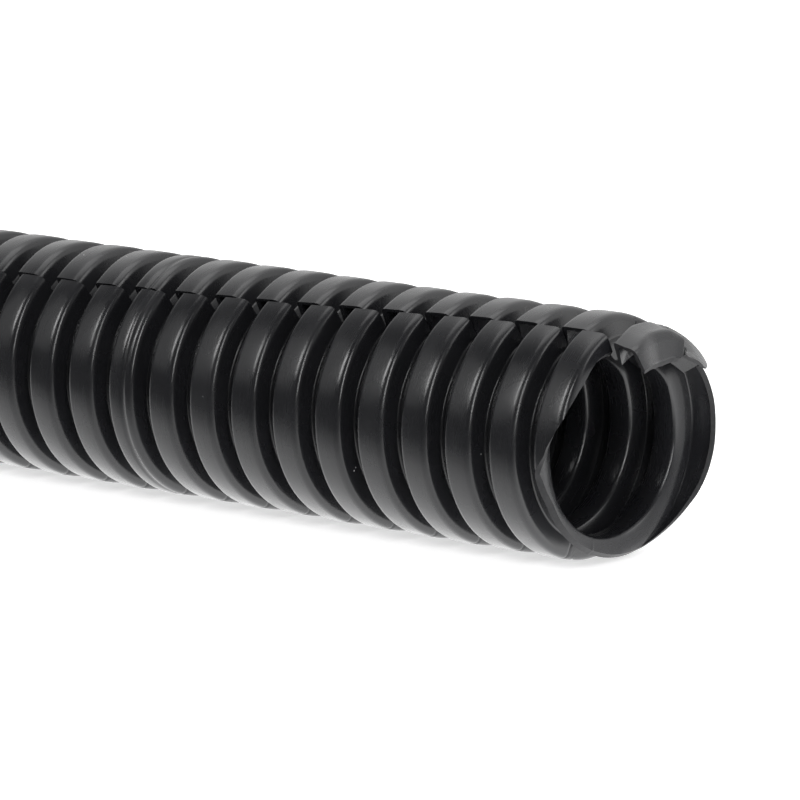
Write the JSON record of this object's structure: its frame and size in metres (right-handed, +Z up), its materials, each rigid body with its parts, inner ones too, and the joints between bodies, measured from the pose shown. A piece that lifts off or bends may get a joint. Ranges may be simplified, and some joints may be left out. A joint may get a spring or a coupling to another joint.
{
  "type": "slit corrugated conduit",
  "caption": "Straight length of black corrugated plastic conduit with square-shouldered rings, a lengthwise slit for laying cables in, one hand-cut end and one square end.",
  "frame": {"origin": "on the surface the tube lies on, under the middle of the tube", "axes": "+X along the tube towards its hand-cut end, +Z up, -Y to the front, the side the slit is nearer to"},
  "size_m": [1, 0.0212, 0.0212],
  "materials": {
    "conduit": "satin black polypropylene"
  },
  "bodies": {
    "root": {"conduit": "conduit"}
  },
  "joints": []
}
